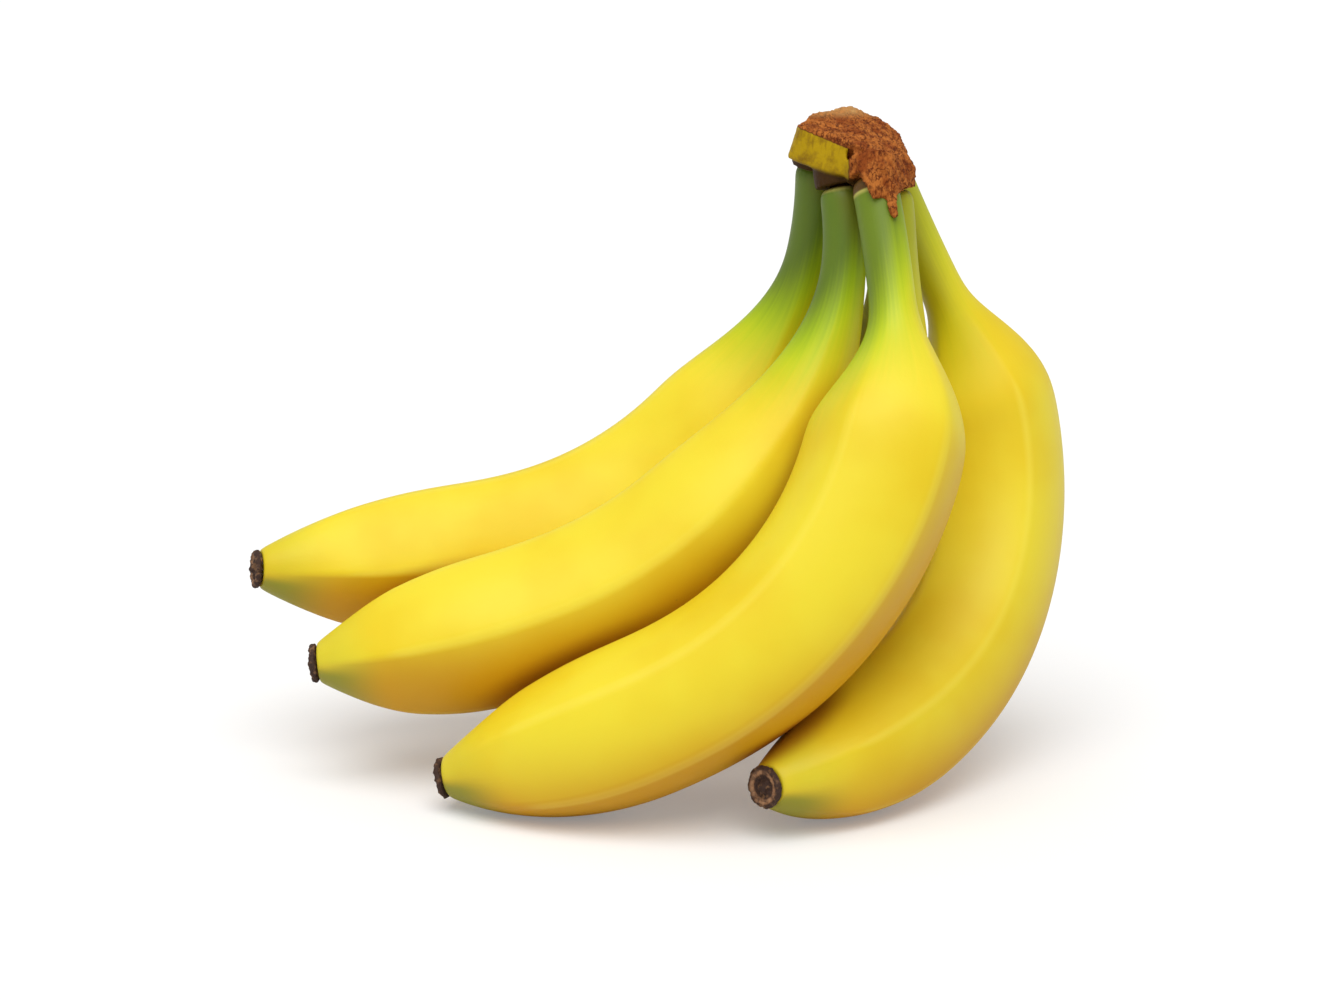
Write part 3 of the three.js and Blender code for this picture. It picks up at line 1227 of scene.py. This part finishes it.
@dataclass
class Crown:
    """The cut lump of stalk that the stems leave, fused from its parts and roughened."""

    shape: CrownShape = CrownShape()
    voxel: float = 0.42 * MM
    bevel: float = 0.7 * MM
    fibre_height: float = 0.9 * MM
    piece: bpy.types.Object = field(init=False)

    # Each layer of roughness: its name, its size in millimetres and its share of fibre_height.
    ROUGHNESS = (("tears", 3.4, 1.0), ("fibres", 1.2, 0.8), ("grain", 0.6, 0.5))
    RIND_ROUGHNESS = 0.15
    DRIP_BALLS = 5
    # How far from its edge, in millimetres, the rind starts and stops giving way to the cut.
    EDGE_BLEND = (-0.5, 0.3)
    HOLLOW_SHADE_BLEND = (0, 1.4)
    # The back is less torn than the front.
    BACK_CUTNESS = 0.75

    def build(self) -> None:
        """Model the crown's parts, fuse them into one surface and tear it."""
        parts = [
            self._hull("crown_chunk", self.shape.chunk),
            self._hull("crown_lobe", self.shape.lobe),
            self._hull("crown_flap", self.shape.flap),
            *self._drops(),
            *self._collars(),
        ]
        deselect_all()
        for part in parts:
            part.select_set(True)
        bpy.context.view_layer.objects.active = parts[0]
        bpy.ops.object.join()
        self.piece = bpy.context.object
        self.piece.name = "crown_stalk"
        self.piece.data.name = "crown_stalk"
        apply_modifier(self.piece, "REMESH", mode="VOXEL", voxel_size=self.voxel)
        apply_modifier(self.piece, "SMOOTH", factor=0.5, iterations=4)
        self._tear()
        self._mark()
        show_smooth(self.piece)

    def _hull(self, name: str, corners: tuple[tuple[float, float, float], ...]) -> bpy.types.Object:
        """Stretch a skin round a set of corners, with softened edges.

        Args:
            name: the new part's name.
            corners: its corners, in millimetres in the bunch's own frame.

        Returns:
            The new part.
        """
        mesh = bpy.data.meshes.new(name)
        mesh.from_pydata([SETTLED @ (Vector(corner) * MM) for corner in corners], [], [])
        part = bpy.data.objects.new(name, mesh)
        bpy.context.scene.collection.objects.link(part)
        choose(part)
        bpy.ops.object.mode_set(mode="EDIT")
        bpy.ops.mesh.select_all(action="SELECT")
        bpy.ops.mesh.convex_hull()
        bpy.ops.mesh.select_all(action="SELECT")
        bpy.ops.mesh.normals_make_consistent(inside=False)
        bpy.ops.object.mode_set(mode="OBJECT")
        apply_modifier(part, "BEVEL", width=self.bevel, segments=3, limit_method="ANGLE")
        return part

    def _drops(self) -> list[bpy.types.Object]:
        """Run a string of balls down the drip, close enough to fuse.

        Returns:
            The balls.
        """
        places = [Vector(place) for place in self.shape.drip]
        radii = self.shape.drip_radii
        drops = []
        for first, last, wide, narrow in zip(places, places[1:], radii, radii[1:]):
            for share in np.linspace(0, 1, self.DRIP_BALLS):
                deselect_all()
                bpy.ops.mesh.primitive_uv_sphere_add(
                    segments=20,
                    ring_count=12,
                    radius=(wide + (narrow - wide) * share) * MM,
                    location=SETTLED @ (first.lerp(last, share) * MM),
                )
                apply_place(bpy.context.object)
                drops.append(bpy.context.object)
        return drops

    def _collars(self) -> list[bpy.types.Object]:
        """Put a short thick ring of stalk round the top of each stem.

        Returns:
            The rings.
        """
        above, below, margin = self.shape.collar
        collars = []
        for finger in FINGERS:
            top = finger.stations([-finger.climb])[0]
            deselect_all()
            bpy.ops.mesh.primitive_cylinder_add(
                vertices=32,
                radius=(finger.radius[0] + margin) * MM,
                depth=(below - above) * MM,
                location=top.at + top.along * (above + below) / 2 * MM,
                rotation=top.turn.to_euler(),
            )
            apply_place(bpy.context.object)
            collars.append(bpy.context.object)
        return collars

    def _own_places(self) -> np.ndarray:
        """Find where the crown's vertices lie before the bunch leans.

        Returns:
            One point in each row, in millimetres in the bunch's own frame.
        """
        back = np.array(SETTLED.inverted())
        return (vertex_values(self.piece, "co") @ back[:3, :3].T + back[:3, 3]) / MM

    def _cutness(self, places: np.ndarray) -> np.ndarray:
        """Tell the torn cut from the lobe's rind.

        Args:
            places: one point in each row, in the bunch's own frame.

        Returns:
            0 on the rind and 1 on the cut, with a narrow change between them.
        """
        height, fall_right, fall_back = self.shape.rind_edge
        left, front = self.shape.left_end
        edge = height - fall_right * (places[:, 0] - left) - fall_back * (places[:, 1] - front)
        above = ease(places[:, 2] - edge, *self.EDGE_BLEND)
        right = ease(places[:, 0], *self.shape.rind_end)
        back = ease(places[:, 1], *self.shape.back_cut) * self.BACK_CUTNESS
        return np.clip(np.maximum(np.maximum(above, right), back), 0, 1)

    def _tear(self) -> None:
        """Roughen the cut into fibres and pits, and leave the rind nearly smooth."""
        cut = self._cutness(self._own_places())
        rough = self.RIND_ROUGHNESS + (1 - self.RIND_ROUGHNESS) * cut
        add_weights(self.piece, "cut", rough)
        for name, size, height in self.ROUGHNESS:
            roughen(self.piece, name, size * MM, self.fibre_height * height, 0.55, "cut")
        self.piece.vertex_groups.remove(self.piece.vertex_groups["cut"])

    def _mark(self) -> None:
        """Store what each vertex is made of, and where the painted shade below the lobe falls, for
        the crown's material.
        """
        places = self._own_places()
        # The painted shade below the lobe: beneath a sloping edge, fading out to the right.
        height, fall = self.shape.hollow_shade_edge
        edge = height - fall * (places[:, 0] - self.shape.left_end[0])
        hollow_shade = ease(edge - places[:, 2], *self.HOLLOW_SHADE_BLEND)
        hollow_shade = hollow_shade * (1 - ease(places[:, 0], *self.shape.hollow_shade_end))
        start, full, fall_back = self.shape.pale_top
        top = ease(places[:, 2] + fall_back * places[:, 1], start, full)
        add_attribute(self.piece, "cut", self._cutness(places))
        add_attribute(self.piece, "hollow_shade", hollow_shade)
        add_attribute(self.piece, "top", top)

    def dress(self, material: bpy.types.Material) -> None:
        """Give the crown its material."""
        self.piece.data.materials.append(material)

    def join_bunch(self) -> None:
        """Hang the piece on the bunch's body and hide the imported part that it replaces."""
        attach(self.piece, BODY)
        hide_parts("crown")


# --- Studio --------------------------------------------------------------------------------------


@dataclass
class Studio:
    """The floor, the lights and the camera."""

    target: Vector = Vector((1.65, -35.2, 68.9)) * MM
    azimuth: float = -0.18
    elevation: float = 13.52
    roll: float = 0.77
    distance: float = 0.7
    lens: float = 85.0
    sun_strength: float = 2.1
    sun_spread: float = 56.0
    sun_way: Vector = Vector((0.07, 0.45, -1.0))
    floor_size: float = 12.0
    floor_grey: float = 0.78
    floor_glow: float = 0.22
    room_light: float = 0.48

    def build(self) -> None:
        """Set up everything that isn't part of the bunch."""
        self._floor()
        self._lights()
        self._camera()
        bpy.context.scene.view_settings.view_transform = "Standard"

    def _floor(self) -> None:
        """Lay a wide white floor."""
        deselect_all()
        bpy.ops.mesh.primitive_plane_add(size=self.floor_size, location=(0, 0, 0))
        floor = bpy.context.object
        floor.name = "floor"
        material, bench, shader = new_material("white_floor")
        shader.inputs["Base Color"].default_value = (*(self.floor_grey,) * 3, 1)
        shader.inputs["Roughness"].default_value = 0.9
        shader.inputs["Specular IOR Level"].default_value = 0.1
        shader.inputs["Emission Color"].default_value = (1, 1, 1, 1)
        # The glow makes the floor look white from any side, but throws no light on the fruit.
        seen = bench.add("LightPath").outputs["Is Camera Ray"]
        glow = bench.maths("MULTIPLY", seen, self.floor_glow)
        bench.feed(shader.inputs["Emission Strength"], glow)
        floor.data.materials.append(material)

    def _lights(self) -> None:
        """Hang one soft light in a bright white room."""
        world = bpy.data.worlds.new("room")
        bpy.context.scene.world = world
        world.use_nodes = True
        background = world.node_tree.nodes["Background"]
        background.inputs["Color"].default_value = (1, 1, 1, 1)
        background.inputs["Strength"].default_value = self.room_light
        sun = bpy.data.lights.new("window", "SUN")
        sun.energy = self.sun_strength
        sun.angle = math.radians(self.sun_spread)
        lamp = bpy.data.objects.new("window", sun)
        bpy.context.scene.collection.objects.link(lamp)
        lamp.rotation_euler = self.sun_way.to_track_quat("-Z", "Y").to_euler()

    def _camera(self) -> None:
        """Stand the camera in front of the bunch, looking a little down on it."""
        data = bpy.data.cameras.new("camera")
        data.lens = self.lens
        data.clip_start = 0.01
        camera = bpy.data.objects.new("camera", data)
        bpy.context.scene.collection.objects.link(camera)
        azimuth, elevation = math.radians(self.azimuth), math.radians(self.elevation)
        back = Vector(
            (
                math.sin(azimuth) * math.cos(elevation),
                -math.cos(azimuth) * math.cos(elevation),
                math.sin(elevation),
            )
        )
        side = Vector((0, 0, 1)).cross(back).normalized()
        upright = Matrix((side, back.cross(side), back)).transposed().to_4x4()
        turned = upright @ Matrix.Rotation(math.radians(self.roll), 4, "Z")
        camera.matrix_world = Matrix.Translation(self.target + back * self.distance) @ turned
        bpy.context.scene.camera = camera


# --- Making --------------------------------------------------------------------------------------

# How green each banana's stem is, from 0 to 1.
GREENNESS = (1.0, 1.0, 0.9, 0.45, 0.45)


def main() -> None:
    """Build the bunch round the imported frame, in order."""
    logging.basicConfig(level=logging.INFO, format="%(name)s: %(message)s")
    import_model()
    Studio().build()
    groups = EffectGroups()
    peel = BananaPeel()
    scar = DriedFlower().build()
    crown = Crown()
    crown.build()
    crown.dress(CrownFlesh().build())
    crown.join_bunch()
    LOG.info("crown made")
    for number, (finger, greenness) in enumerate(zip(FINGERS, GREENNESS), 1):
        banana = Banana(number, finger, greenness)
        banana.build()
        banana.dress(peel, groups)
        banana.join_bunch()
        blossom = BlossomEnd(number, finger)
        blossom.build()
        blossom.dress(scar)
        blossom.join_bunch()
        LOG.info("banana %d made, with %d faces", number, len(banana.piece.data.polygons))
    bpy.context.view_layer.update()


if __name__ == "__main__":
    main()
